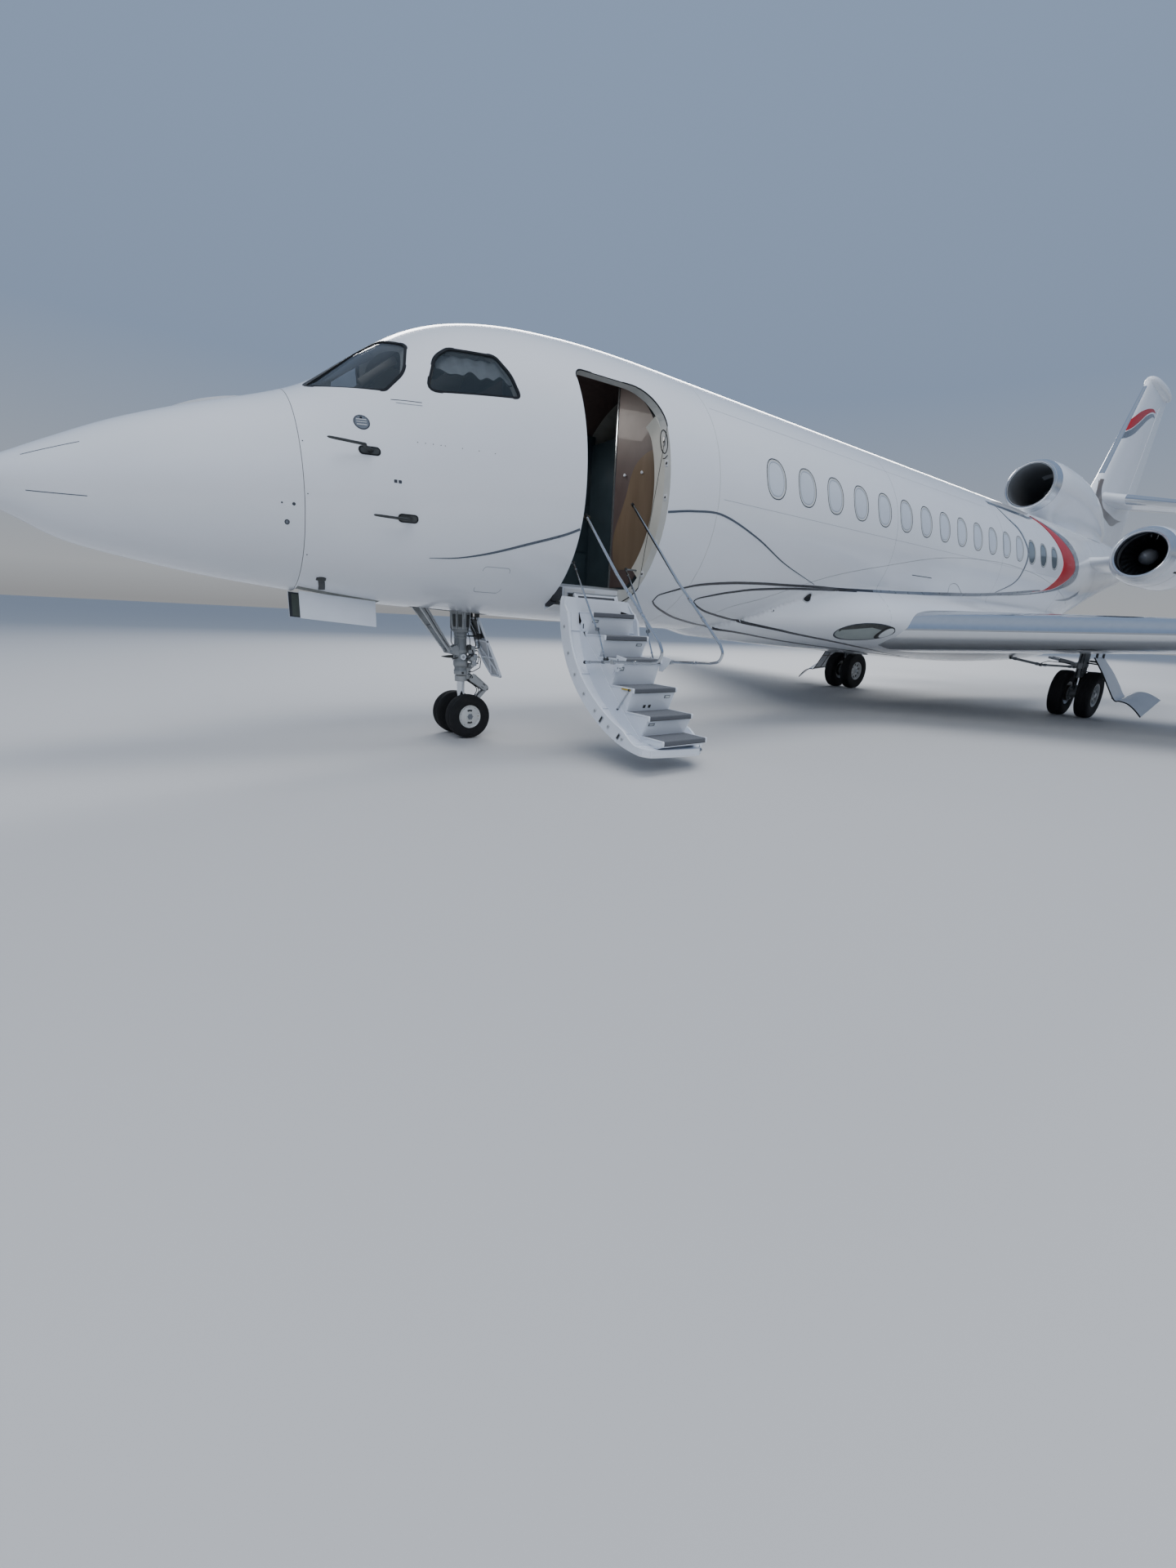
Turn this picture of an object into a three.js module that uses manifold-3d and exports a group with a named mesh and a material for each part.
// Three-engined business jet, parked on its gear with the airstair down.
// Millimetres, +X aft, +Y starboard, +Z up. All tables are in stations: metres aft of the
// nose tip, metres from the centre plane, metres above the ground. The exported group is
// shifted so that its origin is the middle of the bounding box, on the ground.
import * as THREE from 'three';
import { mergeVertices } from 'three/addons/utils/BufferGeometryUtils.js';
import Module from 'manifold-3d';

const wasm = await Module();
wasm.setup();
const { Manifold, Mesh } = wasm;

// ---------------------------------------------------------------- driving dimensions (m)
const LENGTH = 24.46, SPAN = 26.29, HEIGHT = 7.94;
const GAP = 0.0004;            // gap kept between pieces that touch
const WALL = 0.09;             // cabin wall
const FLOOR_Z = 1.55;          // top of the cabin floor
const RADOME_X = 1.88, NOSE_X = 2.60, FWD_X = 5.55, CABIN_X = 15.2, TAIL_X = 22.45;
const NOSE_GEAR_X = 3.43, MAIN_GEAR_X = 14.28, TRACK = 4.495;
const NOSE_TYRE = 0.4445, NOSE_TYRE_W = 0.145, NOSE_WHEEL_Y = 0.165;
const MAIN_TYRE = 0.80, MAIN_TYRE_W = 0.215, MAIN_WHEEL_Y = 0.20;
const DOOR = { x0: 4.0, x1: 4.9, z0: 1.385, z1: 3.26, hingeY: -0.86, hingeZ: 1.39, open: 126, gap: 0.012, thick: 0.06 };
const BAY = { x0: 1.905, x1: 2.52, y: 0.24, z0: 1.35, z1: 1.30, height: 0.225, thick: 0.02 };
const ENGINE = { x: 16.71, y: 2.041, z: 3.015, lip: 0.406 };
const INTAKE = { x: 16.35, z: 4.45, lip: 0.41 };

// fuselage sections: X, top z, bottom z, half width, z of the widest point, upper and lower exponent
const FUSELAGE = [
  [0.00, 1.905, 1.895, 0.005, 1.90, 2, 2],
  [0.02, 1.962, 1.838, 0.075, 1.90, 2, 2],
  [0.08, 2.012, 1.785, 0.14, 1.90, 2, 2],
  [0.22, 2.09, 1.705, 0.24, 1.90, 2, 2],
  [0.45, 2.215, 1.585, 0.36, 1.91, 2, 2],
  [0.85, 2.42, 1.49, 0.51, 1.94, 2, 2],
  [1.25, 2.585, 1.42, 0.635, 1.99, 2, 2],
  [1.88, 2.82, 1.345, 0.80, 2.06, 2, 2],
  [2.10, 2.93, 1.32, 0.865, 2.09, 2.05, 2.05],
  [2.35, 3.12, 1.295, 0.94, 2.12, 2.1, 2.1],
  [2.60, 3.305, 1.275, 1.02, 2.17, 2.15, 2.15],
  [2.82, 3.44, 1.265, 1.085, 2.21, 2.2, 2.2],
  [3.15, 3.575, 1.25, 1.165, 2.27, 2.2, 2.2],
  [3.50, 3.66, 1.235, 1.225, 2.32, 2.2, 2.2],
  [3.90, 3.72, 1.22, 1.275, 2.37, 2.15, 2.2],
  [4.45, 3.765, 1.205, 1.315, 2.41, 2.1, 2.15],
  [4.95, 3.782, 1.195, 1.34, 2.435, 2.05, 2.1],
  [5.55, 3.79, 1.18, 1.35, 2.457, 2, 2.05],
  [6.50, 3.79, 1.175, 1.35, 2.457, 2, 2],
  [15.2, 3.79, 1.175, 1.35, 2.457, 2, 2],
  [16.3, 3.79, 1.32, 1.28, 2.50, 2, 2],
  [17.6, 3.80, 1.62, 1.13, 2.62, 2, 2],
  [19.0, 3.82, 1.99, 0.95, 2.76, 2, 2],
  [20.4, 3.84, 2.33, 0.77, 2.92, 2, 2],
  [21.6, 3.84, 2.58, 0.62, 3.10, 2, 2],
  [22.45, 3.76, 2.74, 0.51, 3.25, 2, 2],
];
// belly fairing sections: X, top z, bottom z, half width, z of the widest point
const FAIRING = [
  [6.60, 1.45, 1.16, 0.35, 1.30],
  [7.40, 1.80, 1.085, 0.98, 1.42],
  [8.40, 2.00, 1.01, 1.36, 1.42],
  [9.60, 2.05, 0.95, 1.56, 1.38],
  [11.5, 2.05, 0.87, 1.62, 1.36],
  [13.8, 2.05, 0.80, 1.62, 1.36],
  [15.6, 2.00, 0.82, 1.54, 1.38],
  [16.8, 1.90, 1.00, 1.20, 1.50],
  [17.7, 1.85, 1.42, 0.70, 1.70],
];
// wing sections: Y, leading edge X, trailing edge X, z, thickness
const WING = [
  [1.10, 9.02, 15.05, 1.30, 0.66],
  [2.60, 10.06, 15.15, 1.36, 0.56],
  [4.90, 11.62, 15.35, 1.45, 0.40],
  [12.55, 16.20, 17.45, 1.79, 0.125],
];
// winglet sections: Y, leading edge X, trailing edge X, z, thickness
const WINGLET = [
  [12.90, 16.72, 17.72, 1.95, 0.10],
  [13.03, 17.22, 18.02, 2.42, 0.08],
  [13.1227, 17.80, 18.34, 3.10, 0.05],
];
const AILERON = { y0: 9.2, y1: 12.2, chord: 0.77 };
// tailplane sections: Y, leading edge X, trailing edge X, z, thickness
const TAILPLANE = [
  [0.05, 20.29, 22.95, 4.83, 0.30],
  [0.30, 20.45, 22.95, 4.79, 0.28],
  [4.95, 23.47, 24.46, 4.12, 0.09],
];
const ELEVATOR = { y0: 0.75, y1: 4.55, chord: 0.70 };
// fin sections: z, leading edge X, trailing edge X, thickness
const FIN = [
  [3.78, 18.90, 23.05, 0.42],
  [4.60, 19.85, 23.25, 0.34],
  [5.24, 20.30, 23.41, 0.30],
  [7.74, 22.05, 24.04, 0.165],
];
const RUDDER = { z0: 5.15, z1: 7.45, chord: 0.70 };
const AIL_GAP = 0.030, TAIL_GAP = 0.05, SIDE = 0.012;  // gaps ahead of and beside a control surface

// ---------------------------------------------------------------- shape helpers
const K = 1000;
function toSolid(geometry) {
  const g = geometry.clone();
  for (const key of Object.keys(g.attributes)) if (key !== 'position') g.deleteAttribute(key);
  const m = mergeVertices(g, 1e-3);
  const tri = m.index.array, pos = m.attributes.position.array;
  const keep = [];
  for (let i = 0; i < tri.length; i += 3) {
    const [a, b, c] = [tri[i], tri[i + 1], tri[i + 2]];
    if (a !== b && b !== c && a !== c) keep.push(a, b, c);
  }
  return new Manifold(new Mesh({ numProp: 3, vertProperties: new Float32Array(pos), triVerts: new Uint32Array(keep) }));
}
function toGeometry(solid) {
  const m = solid.getMesh();
  const g = new THREE.BufferGeometry();
  g.setAttribute('position', new THREE.BufferAttribute(new Float32Array(m.vertProperties), 3));
  g.setIndex(new THREE.BufferAttribute(new Uint32Array(m.triVerts), 1));
  g.computeVertexNormals();
  return g;
}
function geometryFrom(points, triangles) {
  let volume = 0;
  for (const [a, b, c] of triangles) {
    const p = points[a], q = points[b], r = points[c];
    volume += p[0] * (q[1] * r[2] - q[2] * r[1]) - p[1] * (q[0] * r[2] - q[2] * r[0]) + p[2] * (q[0] * r[1] - q[1] * r[0]);
  }
  const index = triangles.flatMap(([a, b, c]) => (volume > 0 ? [a, b, c] : [a, c, b]));
  const g = new THREE.BufferGeometry();
  g.setAttribute('position', new THREE.Float32BufferAttribute(points.flatMap((p) => [p[0] * K, p[1] * K, p[2] * K]), 3));
  g.setIndex(index);
  return g;
}
// closed skin through rings of equal length, with flat or fanned ends
function loft(rings, loop = false) {
  const n = rings[0].length, points = rings.flat(), triangles = [];
  const last = rings.length - (loop ? 0 : 1);
  for (let k = 0; k < last; k += 1) {
    const k2 = (k + 1) % rings.length;
    for (let i = 0; i < n; i += 1) {
      const j = (i + 1) % n;
      triangles.push([k * n + i, k * n + j, k2 * n + j], [k * n + i, k2 * n + j, k2 * n + i]);
    }
  }
  if (!loop) for (const [k, flip] of [[0, true], [rings.length - 1, false]]) {
    const c = rings[k].reduce((s, p) => [s[0] + p[0] / n, s[1] + p[1] / n, s[2] + p[2] / n], [0, 0, 0]);
    points.push(c);
    for (let i = 0; i < n; i += 1) {
      const j = (i + 1) % n;
      triangles.push(flip ? [k * n + j, k * n + i, points.length - 1] : [k * n + i, k * n + j, points.length - 1]);
    }
  }
  return toSolid(geometryFrom(points, triangles));
}
// flat outline (u, v) pushed from w0 to w1, with place(u, v, w) giving x, y, z
function prism(outline, w0, w1, place) {
  const flat = outline.map(([u, v]) => new THREE.Vector2(u, v));
  const faces = THREE.ShapeUtils.triangulateShape(flat, []);
  const n = outline.length;
  const points = [...outline.map(([u, v]) => place(u, v, w0)), ...outline.map(([u, v]) => place(u, v, w1))];
  const area = THREE.ShapeUtils.area(flat);
  const triangles = [];
  for (const [a, b, c] of faces) triangles.push([a, c, b], [a + n, b + n, c + n]);
  for (let i = 0; i < n; i += 1) {
    const j = (i + 1) % n;
    if (area > 0) triangles.push([i, j, j + n], [i, j + n, i + n]);
    else triangles.push([j, i, i + n], [j, i + n, j + n]);
  }
  return toSolid(geometryFrom(points, triangles));
}
const alongY = (outline, y0, y1) => prism(outline, y0, y1, (u, v, w) => [u, w, v]);
const alongX = (outline, x0, x1) => prism(outline, x0, x1, (u, v, w) => [w, u, v]);
const alongZ = (outline, z0, z1) => prism(outline, z0, z1, (u, v, w) => [u, v, w]);
const box = (x0, x1, y0, y1, z0, z1) => {
  const g = new THREE.BoxGeometry((x1 - x0) * K, (y1 - y0) * K, (z1 - z0) * K);
  g.translate((x0 + x1) / 2 * K, (y0 + y1) / 2 * K, (z0 + z1) / 2 * K);
  return toSolid(g);
};
const rod = (p, q, r0, r1 = r0, n = 12) => {
  const a = new THREE.Vector3(...p).multiplyScalar(K), b = new THREE.Vector3(...q).multiplyScalar(K);
  const g = new THREE.CylinderGeometry(r1 * K, r0 * K, a.distanceTo(b), n);
  g.applyQuaternion(new THREE.Quaternion().setFromUnitVectors(new THREE.Vector3(0, 1, 0), b.clone().sub(a).normalize()));
  g.translate(...a.clone().add(b).multiplyScalar(0.5).toArray());
  return toSolid(g);
};
// turned piece: profile of (radius, height along the axis), axis 'x' or 'y', centred on c
const turned = (profile, c, axis, n = 24) => {
  const g = new THREE.LatheGeometry(profile.map(([r, h]) => new THREE.Vector2(r * K, h * K)), n);
  if (axis === 'x') g.rotateZ(-Math.PI / 2);
  g.translate(c[0] * K, c[1] * K, c[2] * K);
  const s = toSolid(g);
  return s.volume() > 0 ? s : toSolid(flip(g));
};
const flip = (g) => {
  const h = g.clone(), a = h.index.array;
  for (let i = 0; i < a.length; i += 3) [a[i], a[i + 1]] = [a[i + 1], a[i]];
  return h;
};
const mirrorY = (solid) => solid.mirror([0, 1, 0]);
const move = (solid, x, y, z) => solid.translate([x * K, y * K, z * K]);
const turnX = (solid, y, z, degrees) => move(move(solid, 0, -y, -z).rotate([degrees, 0, 0]), 0, y, z);
const join = (...solids) => solids.reduce((a, b) => a.add(b));

function roundedOutline(x0, x1, z0, z1, radii, steps = 3) {
  const [bl, br, tr, tl] = radii, out = [];
  const corner = (cx, cz, r, start) => {
    for (let i = 0; i <= steps; i += 1) {
      const a = start + (Math.PI / 2) * (i / steps);
      out.push([cx + r * Math.cos(a), cz + r * Math.sin(a)]);
    }
  };
  corner(x0 + bl, z0 + bl, bl, Math.PI);
  corner(x1 - br, z0 + br, br, Math.PI * 1.5);
  corner(x1 - tr, z1 - tr, tr, 0);
  corner(x0 + tl, z1 - tl, tl, Math.PI / 2);
  return out;
}

// ---------------------------------------------------------------- fuselage
const lerpRow = (table, x) => {
  let i = 0;
  while (i < table.length - 2 && x > table[i + 1][0]) i += 1;
  const t = (x - table[i][0]) / (table[i + 1][0] - table[i][0]);
  return table[i].map((v, k) => v + (table[i + 1][k] - v) * t);
};
function ring(table, x, inset = 0, n = 24) {
  const [, zt, zb, w, zw, et = 2, eb = 2] = lerpRow(table, x);
  const out = [];
  for (let i = 0; i < n; i += 1) {
    const a = (i / n) * 2 * Math.PI, c = Math.cos(a), s = Math.sin(a), e = s >= 0 ? et : eb;
    const cy = Math.sign(c) * Math.abs(c) ** (2 / e), sz = Math.sign(s) * Math.abs(s) ** (2 / e);
    out.push([x, Math.max(w - inset, 0.004) * cy, zw + (s >= 0 ? zt - zw - inset : zw - zb - inset) * sz]);
  }
  return out;
}
function hull(table, x0, x1, inset = 0, n = 24) {
  const xs = [x0, ...table.map((r) => r[0]).filter((x) => x > x0 + 0.01 && x < x1 - 0.01), x1];
  return loft(xs.map((x) => ring(table, x, inset, n)));
}
const BIG = 40;
const above = (z) => box(-1, 30, -BIG, BIG, z, 20);

const doorOutline = (g) => roundedOutline(DOOR.x0 + g, DOOR.x1 - g, DOOR.z0 + g, DOOR.z1 - g, [0.06, 0.18, 0.30, 0.09]);
const sideWindow = (g) => [[2.73 + g, 2.80 + g], [3.45 - 1.3 * g, 2.87 + g], [3.40 - g, 3.05], [3.31 - g, 3.19 - g], [2.97 + g, 3.19 - g], [2.85 + g, 3.10]];
const windshield = (g) => [[1.985 + 3 * g, 2.80 + g], [2.48 - g, 2.775 + g], [2.63 - g, 2.93], [2.72 - g, 3.19 - g], [2.60, 3.29 - 2 * g], [2.45, 3.20 - 2 * g]];

const radome = hull(FUSELAGE, 0, RADOME_X - GAP);
const pane = (outline, y0, y1) => hull(FUSELAGE, 1.9, 4.2, 0.006).subtract(hull(FUSELAGE, 1.8, 4.3, 0.034)).intersect(alongY(outline, y0, y1));
const panes = {
  windshield_right: pane(windshield(0.002), 0.035, 1.3),
  windshield_left: pane(windshield(0.002), -1.3, -0.035),
  side_window_right: pane(sideWindow(0.002), 0.5, 1.4),
  side_window_left: pane(sideWindow(0.002), -1.4, -0.5),
};

const cockpitVoid = hull(FUSELAGE, 2.30, FWD_X + 0.5, WALL).intersect(above(1.75).subtract(box(3.84, 30, -BIG, BIG, 1.0, 20)));
const cabinVoid = hull(FUSELAGE, 3.80, CABIN_X - 0.25, WALL).intersect(above(FLOOR_Z));
// recess beside the floor edge that takes the closed airstair
const doorPit = alongX([[-1.7, 1.395], [-0.845, 1.36], [-0.66, 1.30], [-0.66, 1.7], [-1.7, 1.7]], DOOR.x0, DOOR.x1);
const frontBody = hull(FUSELAGE, RADOME_X, FWD_X - GAP)
  .subtract(cockpitVoid).subtract(cabinVoid)
  .subtract(alongY(doorOutline(0), -2, -0.5)).subtract(doorPit)
  .subtract(alongY(windshield(0), 0.033, 1.6)).subtract(alongY(windshield(0), -1.6, -0.033))
  .subtract(alongY(sideWindow(0), 0.5, 1.6)).subtract(alongY(sideWindow(0), -1.6, -0.5))
  .subtract(box(BAY.x0 - 0.012, BAY.x1 + 0.035, -BAY.y - 0.012, BAY.y + 0.012, 1.0, 1.70))
  .subtract(box(2.86, 3.66, -0.17, 0.17, 1.0, 1.50));
// joined at the frame behind the nose bay
const noseSection = frontBody.intersect(box(0, NOSE_X - GAP, -BIG, BIG, -1, 20));
const forward = frontBody.intersect(box(NOSE_X, 30, -BIG, BIG, -1, 20));
const cabin = hull(FUSELAGE, FWD_X, CABIN_X - GAP).subtract(cabinVoid);
const bulkhead = hull(FUSELAGE, 3.72, 3.76, WALL + 0.006).intersect(above(1.76)).subtract(box(3.6, 3.9, -0.30, 0.30, 1.5, 3.30));
const closet = hull(FUSELAGE, 4.99, 5.50, WALL + 0.004).intersect(box(4.99, 5.50, -1.4, -0.20, FLOOR_Z + 0.002, 4));

// ---------------------------------------------------------------- engines and tail
function nacelle(c, len, lip) {
  // outer and inner line: radius, distance aft of the lip
  const line = [[lip, 0.03], [lip + 0.03, 0.0], [lip + 0.105, 0.16], [lip + 0.165, 0.75], [lip + 0.165, 1.7], [lip + 0.09, 2.6], [lip - 0.02, len],
    [lip - 0.035, len], [lip + 0.03, 2.6], [lip + 0.05, 1.7], [lip + 0.045, 0.55], [lip - 0.004, 0.14]];
  return turned([...line, line[0]], c, 'x', 20);
}
function fan(c, r) {
  // spinner, blade disc and shaft
  return turned([[0, -0.30], [0.09, -0.20], [0.145, -0.06], [0.15, 0.0], [r, 0.0], [r, 0.07], [0.15, 0.07], [0.15, 0.14], [0, 0.14]], c, 'x', 18);
}
const engineBlock = (c) => turned([[0, 0], [0.30, 0], [0.34, 0.25], [0.34, 1.5], [0.26, 1.95], [0, 1.95]], c, 'x', 16);
const nacelleRight = nacelle([ENGINE.x, ENGINE.y, ENGINE.z], 3.35, ENGINE.lip);
const fanRight = fan([ENGINE.x + 0.62, ENGINE.y, ENGINE.z], ENGINE.lip + 0.03);
const coreRight = engineBlock([ENGINE.x + 0.82, ENGINE.y, ENGINE.z]);
const nacelleHull = turned([[0, -0.02], [0.60, -0.02], [0.60, 3.4], [0, 3.4]], [ENGINE.x, ENGINE.y, ENGINE.z], 'x', 24);

// wing-like loft: outline of one section as (chord fraction, thickness fraction)
const FOIL = [[0, 0], [0.012, 0.22], [0.05, 0.38], [0.16, 0.485], [0.38, 0.5], [0.62, 0.37], [0.82, 0.19], [1, 0.02],
  [1, -0.02], [0.82, -0.15], [0.62, -0.31], [0.38, -0.46], [0.16, -0.43], [0.05, -0.30], [0.012, -0.18]];
const SYMMETRIC = [[0, 0], [0.012, 0.2], [0.05, 0.36], [0.16, 0.47], [0.38, 0.5], [0.62, 0.37], [0.82, 0.19], [1, 0.02],
  [1, -0.02], [0.82, -0.19], [0.62, -0.37], [0.38, -0.5], [0.16, -0.47], [0.05, -0.36], [0.012, -0.2]];
const wingRing = (row, foil) => foil.map(([c, t]) => [row[1] + (row[2] - row[1]) * c, row[0], row[3] + row[4] * t]);
const finRing = (row) => SYMMETRIC.map(([c, t]) => [row[1] + (row[2] - row[1]) * c, row[3] * t, row[0]]);
const wingletRing = (row, lean) => FOIL.map(([c, t]) => [row[1] + (row[2] - row[1]) * c, row[0] - row[4] * t * Math.cos(lean), row[3] + row[4] * t * Math.sin(lean)]);

const rear = hull(FUSELAGE, CABIN_X, TAIL_X)
  .subtract(turned([[0, 0], [0.40, 0], [0.44, 1.0], [0.44, 3.5], [0, 3.5]], [19.75, 0, 3.24], 'x', 20));
const engineCentre = engineBlock([20.05, 0, 3.24]);
const nozzle = turned([[0.41, 0], [0.435, 0], [0.435, 0.42], [0.36, 0.80], [0.345, 0.80], [0.41, 0.42]].concat([[0.41, 0]]), [TAIL_X - 0.30, 0, 3.24], 'x', 20);

// intake duct over the rear fuselage: X, centre z, radius
const DUCT = [[16.35, 4.45, 0.445], [16.37, 4.45, 0.465], [16.55, 4.45, 0.515], [17.10, 4.43, 0.565], [18.00, 4.37, 0.585], [19.00, 4.24, 0.55], [20.00, 4.05, 0.44], [20.80, 3.86, 0.28]];
const circle = (x, z, r, n = 20) => Array.from({ length: n }, (_, i) => {
  const a = (i / n) * 2 * Math.PI;
  return [x, r * Math.cos(a), z + r * Math.sin(a)];
});
const ductOuter = loft(DUCT.map(([x, z, r]) => circle(x, z, r)));
const ductInner = loft([[16.30, 4.45, 0.43], [16.36, 4.45, 0.418], [16.50, 4.45, 0.405], [17.20, 4.42, 0.43], [17.90, 4.30, 0.43], [18.30, 4.16, 0.40]].map(([x, z, r]) => circle(x, z, r, 16)));
const ductFoot = loft([[16.75, 0.10, 4.25], [17.2, 0.26, 4.25], [18.2, 0.42, 4.25], [19.2, 0.44, 4.2], [20.2, 0.34, 4.0], [21.0, 0.22, 3.9]]
  .map(([x, w, z]) => [[x, w, 3.30], [x, w, z], [x, -w, z], [x, -w, 3.30]]));
const finFull = loft(FIN.map(finRing));
const intake = ductOuter.add(ductFoot).subtract(ductInner).subtract(hull(FUSELAGE, 15.3, TAIL_X + 0.05, -GAP)).subtract(loft(FIN.map((r) => finRing([r[0], r[1] - 0.002, r[2] + 0.002, r[3] + 0.004]))));

// control surface cut out of a lifting surface; edge(y) is the leading and trailing X at y
const edges = (table, y, col = 0) => { const r = lerpRow(table.map((q) => [q[col], ...q]), y); return [r[2], r[3]]; };
function controlPlan(table, y0, y1, chord, gap) {
  const at = (y) => { const [a, b] = edges(table, y); return a + (b - a) * chord; };
  return squareTo([at(y0), y0], [at(y1), y1], gap);
}
// outline behind the line a-b, with ends square to it; a piece that fits it stands back by gap and SIDE
function squareTo(a, b, gap) {
  const l = Math.hypot(b[0] - a[0], b[1] - a[1]), u = [(b[0] - a[0]) / l, (b[1] - a[1]) / l], v = [u[1], -u[0]], side = gap > 0 ? SIDE : 0;
  const at = (p, s, d) => [p[0] + u[0] * s + v[0] * d, p[1] + u[1] * s + v[1] * d];
  return [at(a, side, gap), at(b, -side, gap), at(b, -side, 3), at(a, side, 3)];
}
const wingFull = loft([...WING.map((r) => wingRing(r, FOIL)),
  ...WINGLET.map((r, i) => wingletRing(r, [0.9, 0.25, 0.15][i]))]);
const aileronRight = wingFull.intersect(alongZ(controlPlan(WING, AILERON.y0, AILERON.y1, AILERON.chord, AIL_GAP), 0, 4));
const mainWell = box(13.98, 14.52, 2.02, 2.52, 0.5, 1.27);
const fairingHull = hull(FAIRING, FAIRING[0][0], FAIRING[FAIRING.length - 1][0], 0);
const fairing = fairingHull.subtract(hull(FUSELAGE, 6.0, 18.2, -GAP));
const wingRaw = wingFull.subtract(alongZ(controlPlan(WING, AILERON.y0, AILERON.y1, AILERON.chord, 0), 0, 4)).subtract(mainWell);
const cutWing = (s) => s.subtract(hull(FAIRING, FAIRING[0][0], FAIRING[FAIRING.length - 1][0], -GAP)).subtract(hull(FUSELAGE, 6.0, 18.2, -GAP));

const tailFull = loft(TAILPLANE.map((r) => wingRing(r, SYMMETRIC)));
const finCutter = loft(FIN.map((r) => finRing([r[0], r[1] - 0.002, r[2] + 0.003, r[3] + 2 * GAP])));
const elevatorRight = tailFull.intersect(alongZ(controlPlan(TAILPLANE, ELEVATOR.y0, ELEVATOR.y1, ELEVATOR.chord, TAIL_GAP), 2, 6));
const stabRaw = tailFull.subtract(alongZ(controlPlan(TAILPLANE, ELEVATOR.y0, ELEVATOR.y1, ELEVATOR.chord, 0), 2, 6));
const cutStab = (s) => s.subtract(finCutter);
const rudderPlan = (z0, z1, gap) => {
  const at = (z) => { const [a, b] = edges(FIN, z); return a + (b - a) * RUDDER.chord; };
  return squareTo([at(z0), z0], [at(z1), z1], gap);
};
const rudder = finFull.intersect(alongY(rudderPlan(RUDDER.z0, RUDDER.z1, TAIL_GAP), -1, 1));
const bullet = turned([[0, -0.95], [0.06, -0.88], [0.13, -0.60], [0.16, -0.1], [0.14, 0.55], [0.07, 1.05], [0, 1.20]], [23.05, 0, HEIGHT - 0.16], 'x', 16);
const fin = finFull.add(bullet).subtract(alongY(rudderPlan(RUDDER.z0, RUDDER.z1, 0), -1, 1)).subtract(hull(FUSELAGE, 15.3, TAIL_X + 0.05, -GAP)).subtract(nozzle);

const pylonRaw = loft([[0.70, 17.15, 20.4, 2.96, 0.30], [1.62, 17.45, 19.9, 3.02, 0.22]].map((r) => wingRing(r, SYMMETRIC))).subtract(nacelleHull);
const cutPylon = (s) => s.subtract(hull(FUSELAGE, 15.3, TAIL_X, -GAP)).subtract(cabin);

// ---------------------------------------------------------------- landing gear
// tyre and wheel section: radius, distance across; mirrored about the middle
function wheel(radius, width, rim, bore, c, axis = 'y') {
  const h = width / 2;
  const p = [[bore, -h * 0.55], [rim * 0.80, -h * 0.45], [rim, -h * 0.78], [radius * 0.86, -h], [radius, -h * 0.50],
    [radius, h * 0.50], [radius * 0.86, h], [rim, h * 0.78], [rim * 0.80, h * 0.45], [bore, h * 0.55]];
  return turned([...p, p[0]], c, axis, 20);
}
const NR = NOSE_TYRE / 2, MR = MAIN_TYRE / 2, AX = 0.03, MAX = 0.045;
const noseWheel = (s) => wheel(NR, NOSE_TYRE_W, 0.115, AX + 0.002, [NOSE_GEAR_X, s * NOSE_WHEEL_Y, NR]);
const noseFork = join(
  rod([NOSE_GEAR_X, 0, NR - 0.02], [NOSE_GEAR_X, 0, 0.618], 0.042),
  rod([NOSE_GEAR_X, -0.235, NR], [NOSE_GEAR_X, 0.235, NR], AX),
  rod([NOSE_GEAR_X, -0.06, NR], [NOSE_GEAR_X, 0.06, NR], 0.065),
  box(NOSE_GEAR_X, NOSE_GEAR_X + 0.15, -0.03, 0.03, 0.30, 0.34),
  alongY([[NOSE_GEAR_X + 0.12, 0.30], [NOSE_GEAR_X + 0.15, 0.30], [NOSE_GEAR_X + 0.27, 0.44], [NOSE_GEAR_X + 0.24, 0.46]], -0.03, 0.03),
  rod([NOSE_GEAR_X, 0, 0.56], [NOSE_GEAR_X, 0, 0.618], 0.07),
);
const noseLeg = join(
  rod([NOSE_GEAR_X, 0, 0.62], [NOSE_GEAR_X, 0, 1.46], 0.075),
  rod([NOSE_GEAR_X, 0, 0.70], [NOSE_GEAR_X, 0, 0.86], 0.095),
  rod([NOSE_GEAR_X, -0.155, 1.38], [NOSE_GEAR_X, 0.155, 1.38], 0.045),
  rod([NOSE_GEAR_X, 0, 0.68], [NOSE_GEAR_X - 0.17, 0, 0.70], 0.014, 0.010, 8),
);
const dragBrace = join(
  rod([3.298, 0.06, 0.86], [2.96, 0.11, 1.34], 0.026, 0.026, 10),
  rod([3.298, -0.06, 0.86], [2.96, -0.11, 1.34], 0.026, 0.026, 10),
  rod([3.298, -0.075, 0.86], [3.298, 0.075, 0.86], 0.03, 0.03, 10),
  rod([2.96, -0.15, 1.34], [2.96, 0.15, 1.34], 0.03, 0.03, 10),
);
const noseLegDoor = alongY([[3.56, 1.20], [3.60, 1.20], [3.70, 0.95], [3.86, 0.60], [3.83, 0.59], [3.66, 0.93]], -0.15, 0.15)
  .add(box(3.52, 3.66, -0.02, 0.02, 1.00, 1.03));
const MY = TRACK / 2;
const mainWheel = (side, inner) => wheel(MR, MAIN_TYRE_W, 0.20, MAX + 0.002, [MAIN_GEAR_X, side * (MY + inner * MAIN_WHEEL_Y), MR]);
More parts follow.
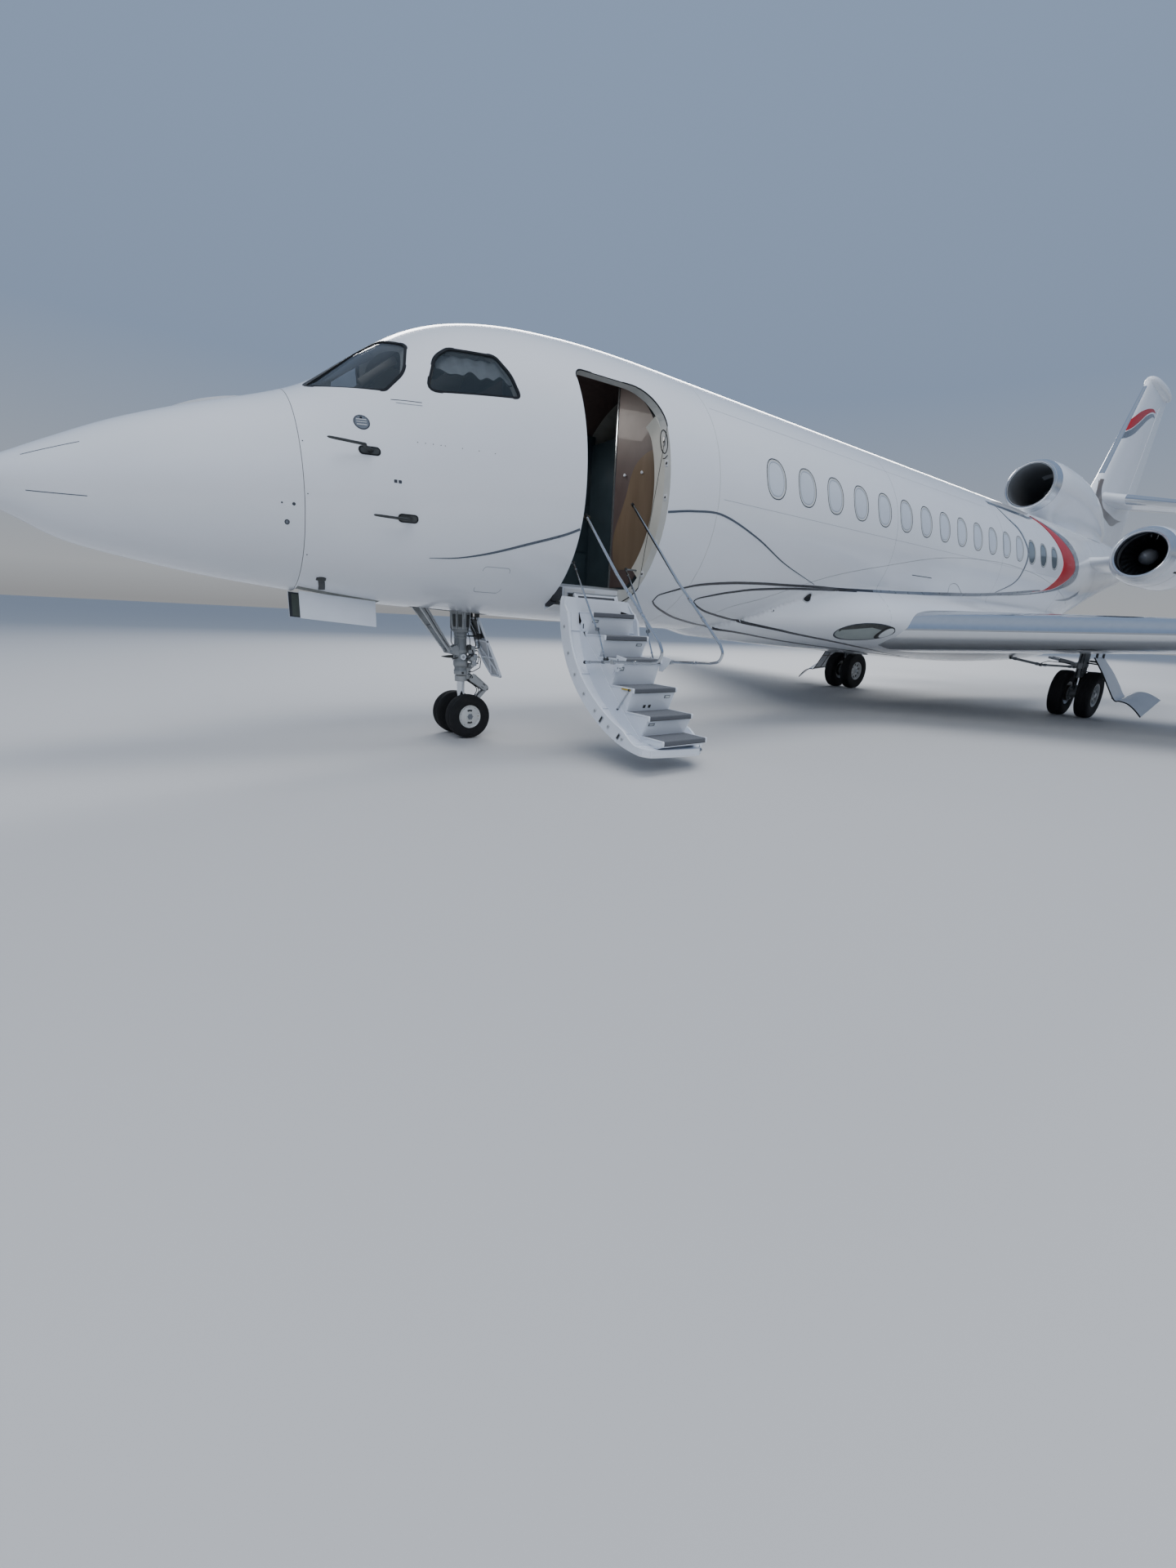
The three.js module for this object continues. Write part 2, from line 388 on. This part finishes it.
const mainLegRight = join(
  rod([MAIN_GEAR_X, MY, MR], [MAIN_GEAR_X, MY, 0.80], 0.055),
  rod([MAIN_GEAR_X, MY, 0.68], [MAIN_GEAR_X, MY, 1.25], 0.085),
  rod([MAIN_GEAR_X, MY - 0.31, MR], [MAIN_GEAR_X, MY + 0.31, MR], MAX),
  rod([MAIN_GEAR_X, MY - 0.075, MR], [MAIN_GEAR_X, MY + 0.075, MR], 0.075),
  alongY([[MAIN_GEAR_X + 0.05, 0.40], [MAIN_GEAR_X + 0.20, 0.56], [MAIN_GEAR_X + 0.05, 0.74], [MAIN_GEAR_X + 0.05, 0.70], [MAIN_GEAR_X + 0.15, 0.56], [MAIN_GEAR_X + 0.04, 0.44]], MY - 0.04, MY + 0.04),
  rod([MAIN_GEAR_X - 0.24, MY, 1.20], [MAIN_GEAR_X + 0.22, MY, 1.20], 0.05),
);
const sideBraceRight = join(
  rod([MAIN_GEAR_X, MY - 0.125, 0.91], [MAIN_GEAR_X - 0.02, 1.72, 1.00], 0.035, 0.035, 10),
  rod([MAIN_GEAR_X - 0.09, MY - 0.125, 0.91], [MAIN_GEAR_X + 0.09, MY - 0.125, 0.91], 0.034, 0.034, 10),
);
const legDoorRight = join(
  prism([[2.60, 1.03], [2.63, 1.03], [2.72, 0.70], [2.93, 0.42], [3.18, 0.36], [3.36, 0.48], [3.38, 0.46], [3.19, 0.33], [2.91, 0.39], [2.69, 0.69]], MAIN_GEAR_X - 0.33, MAIN_GEAR_X + 0.33, (u, v, w) => [w, u, v]),
  rod([MAIN_GEAR_X, MY + 0.088, 0.98], [MAIN_GEAR_X, 2.63, 0.96], 0.02, 0.02, 8),
);

// ---------------------------------------------------------------- airstair, closed in its doorway and then swung down
const shellClosed = hull(FUSELAGE, 3.8, 5.1, 0.001, 40).subtract(hull(FUSELAGE, 3.7, 5.2, DOOR.thick, 40))
  .intersect(alongY(doorOutline(DOOR.gap), -2, -0.5)).subtract(box(3, 6, -2, 2, 1, DOOR.z0 + 0.03));
const flangeClosed = (x0, x1) => hull(FUSELAGE, 3.8, 5.1, 0.02, 40).subtract(hull(FUSELAGE, 3.7, 5.2, 0.13, 40))
  .intersect(box(x0, x1, -2, -0.5, DOOR.z0 + 0.12, DOOR.z1 - 0.34));
const airstairShell = turnX(join(shellClosed, flangeClosed(DOOR.x0 + 0.016, DOOR.x0 + 0.036), flangeClosed(DOOR.x1 - 0.036, DOOR.x1 - 0.016)), DOOR.hingeY, DOOR.hingeZ, DOOR.open);
// noses of the treads: y, z
const NOSES = [[-1.19, 1.295], [-1.40, 1.097], [-1.61, 0.905], [-1.84, 0.67], [-2.065, 0.463], [-2.26, 0.284]];
const stepOutline = [[-0.895, 1.50], [-0.92, 1.50], [-0.945, 1.295]];
NOSES.forEach(([y, z], i) => {
  stepOutline.push([y, z], [y, z - 0.03]);
  if (i < NOSES.length - 1) stepOutline.push([y + 0.075, NOSES[i + 1][1]]);
});
stepOutline.push([-2.08, 0.16], [-1.62, 0.27], [-1.20, 0.50], [-0.98, 0.80], [-0.87, 1.10], [-0.86, 1.30], [-0.88, 1.31]);
const airstairSteps = alongX(stepOutline, 4.19, 4.71).intersect(turnX(hull(FUSELAGE, 3.7, 5.2, DOOR.thick + 0.002, 40), DOOR.hingeY, DOOR.hingeZ, DOOR.open));
// hairpin rail: straight and bent stretches of one tube
function tubePath(points, radius, n = 6) {
  const path = new THREE.CurvePath();
  const v = points.map((p) => new THREE.Vector3(...p).multiplyScalar(K));
  for (let i = 0; i < v.length - 1; i += 1) path.add(new THREE.LineCurve3(v[i], v[i + 1]));
  const curve = new THREE.CatmullRomCurve3(v, false, 'centripetal');
  const shape = new THREE.Shape().absarc(0, 0, radius * K, 0, Math.PI * 2);
  return toSolid(new THREE.ExtrudeGeometry(shape, { steps: points.length + 3, curveSegments: n, bevelEnabled: false, extrudePath: curve }));
}
const RAIL = { pin: [-1.656, 0.889], lane: 4.10, r: 0.0125 };
const railLine = (x, top) => [[x, top[0], top[1]], [x, -1.65, 1.600], [x, -2.225, 1.085], [x, -2.272, 1.010], [x, -2.235, 0.935], [x, -2.14, 0.918], [x, -1.656, 0.889], [x, -1.24, 0.853]];
const handrail = (x, top) => tubePath(railLine(x, top), RAIL.r).add(rod([x - 0.02, ...RAIL.pin], [x + 0.02, ...RAIL.pin], 0.02, 0.02, 10));
const flatBar = (x0, x1, a, b, w) => {
  const d = [b[0] - a[0], b[1] - a[1]], l = Math.hypot(...d), u = [d[0] / l, d[1] / l], n = [-u[1], u[0]], e = 0.012;
  return alongX([[a[0] - u[0] * e + n[0] * w, a[1] - u[1] * e + n[1] * w], [a[0] - u[0] * e - n[0] * w, a[1] - u[1] * e - n[1] * w],
    [b[0] + u[0] * e - n[0] * w, b[1] + u[1] * e - n[1] * w], [b[0] + u[0] * e + n[0] * w, b[1] + u[1] * e + n[1] * w]], x0, x1);
};
const STAY = { frame: [-0.938, 1.731], knee: [-1.3447, 1.1533], door: [-1.461, 0.897] };

// ---------------------------------------------------------------- nose bay doors, hanging open
const bayZ = (x) => BAY.z0 + (BAY.z1 - BAY.z0) * ((x - BAY.x0) / (BAY.x1 - BAY.x0));
const bayDoor = (s) => {
  const [a, b] = [BAY.x0, BAY.x1], y0 = s * BAY.y, y1 = s * (BAY.y - BAY.thick);
  return alongY([[a, bayZ(a) - 0.008], [b, bayZ(b) - 0.008], [b, bayZ(b) - BAY.height], [a, bayZ(a) - BAY.height]], Math.min(y0, y1), Math.max(y0, y1));
};

// ---------------------------------------------------------------- scene
const LOOK = {
  white: [0xf2f3f5, 0.25, 0.0], metal: [0xb9bcc0, 0.25, 0.9], grey: [0x7c7f83, 0.5, 0.2], rubber: [0x151515, 0.85, 0.0],
  glass: [0x1c242b, 0.08, 0.1], brown: [0x4b3a2f, 0.5, 0.0], dark: [0x2c2d30, 0.6, 0.4], carpet: [0x5f6368, 0.9, 0.0],
};
const materials = Object.fromEntries(Object.entries(LOOK).map(([k, [color, roughness, metalness]]) => [k, new THREE.MeshStandardMaterial({ color, roughness, metalness })]));
const group = new THREE.Group();
const place = new THREE.Group();
place.position.set(-LENGTH / 2 * K, 0, 0);
group.add(place);
function add(name, solid, look) {
  const mesh = new THREE.Mesh(toGeometry(solid), materials[look]);
  mesh.name = name;
  place.add(mesh);
}
function addPair(name, solidRight, look, fit = (s) => s) {
  add(`${name}_right`, fit(solidRight), look);
  add(`${name}_left`, fit(mirrorY(solidRight)), look);
}

add('radome', radome, 'white');
add('nose_fuselage', noseSection, 'white');
add('forward_fuselage', forward, 'white');
add('cabin_fuselage', cabin, 'white');
add('rear_fuselage', rear, 'white');
add('wing_fairing', fairing, 'white');
for (const [name, solid] of Object.entries(panes)) add(name, solid, 'glass');
add('cockpit_bulkhead', bulkhead, 'dark');
add('entry_closet', closet, 'brown');
addPair('wing', wingRaw, 'white', cutWing);
addPair('aileron', aileronRight, 'white');
add('fin', fin, 'white');
add('rudder', rudder, 'white');
addPair('stabiliser', stabRaw, 'white', cutStab);
addPair('elevator', elevatorRight, 'white');
add('centre_intake', intake, 'white');
add('centre_nozzle', nozzle, 'metal');
add('engine_centre', engineCentre, 'dark');
addPair('nacelle', nacelleRight, 'white');
addPair('engine', coreRight, 'dark');
addPair('fan', fanRight, 'dark');
addPair('pylon', pylonRaw, 'white', cutPylon);
add('nose_gear_leg', noseLeg, 'metal');
add('nose_drag_brace', dragBrace, 'metal');
add('nose_leg_door', noseLegDoor, 'grey');
add('nose_fork', noseFork, 'metal');
add('nose_wheel_right', noseWheel(1), 'rubber');
add('nose_wheel_left', noseWheel(-1), 'rubber');
addPair('main_gear_leg', mainLegRight, 'metal');
addPair('main_side_brace', sideBraceRight, 'metal');
addPair('main_leg_door', legDoorRight, 'white');
for (const [side, s] of [['right', 1], ['left', -1]]) {
  add(`main_wheel_${side}_inner`, mainWheel(s, -1), 'rubber');
  add(`main_wheel_${side}_outer`, mainWheel(s, 1), 'rubber');
}
add('airstair_shell', airstairShell, 'white');
add('airstair_steps', airstairSteps, 'carpet');
add('handrail_fore', handrail(RAIL.lane, [-1.152, 2.114]), 'metal');
add('handrail_aft', handrail(4.80, [-0.93, 2.33]), 'metal');
add('stay_upper_fore', flatBar(4.130, 4.142, STAY.frame, STAY.knee, 0.012), 'metal');
add('stay_lower_fore', flatBar(4.150, 4.162, STAY.door, STAY.knee, 0.012), 'metal');
add('stay_upper_aft', flatBar(4.758, 4.770, STAY.frame, STAY.knee, 0.012), 'metal');
add('stay_lower_aft', flatBar(4.738, 4.750, STAY.door, STAY.knee, 0.012), 'metal');
add('nose_bay_door_right', bayDoor(1), 'white');
add('nose_bay_door_left', bayDoor(-1), 'white');

export default group;
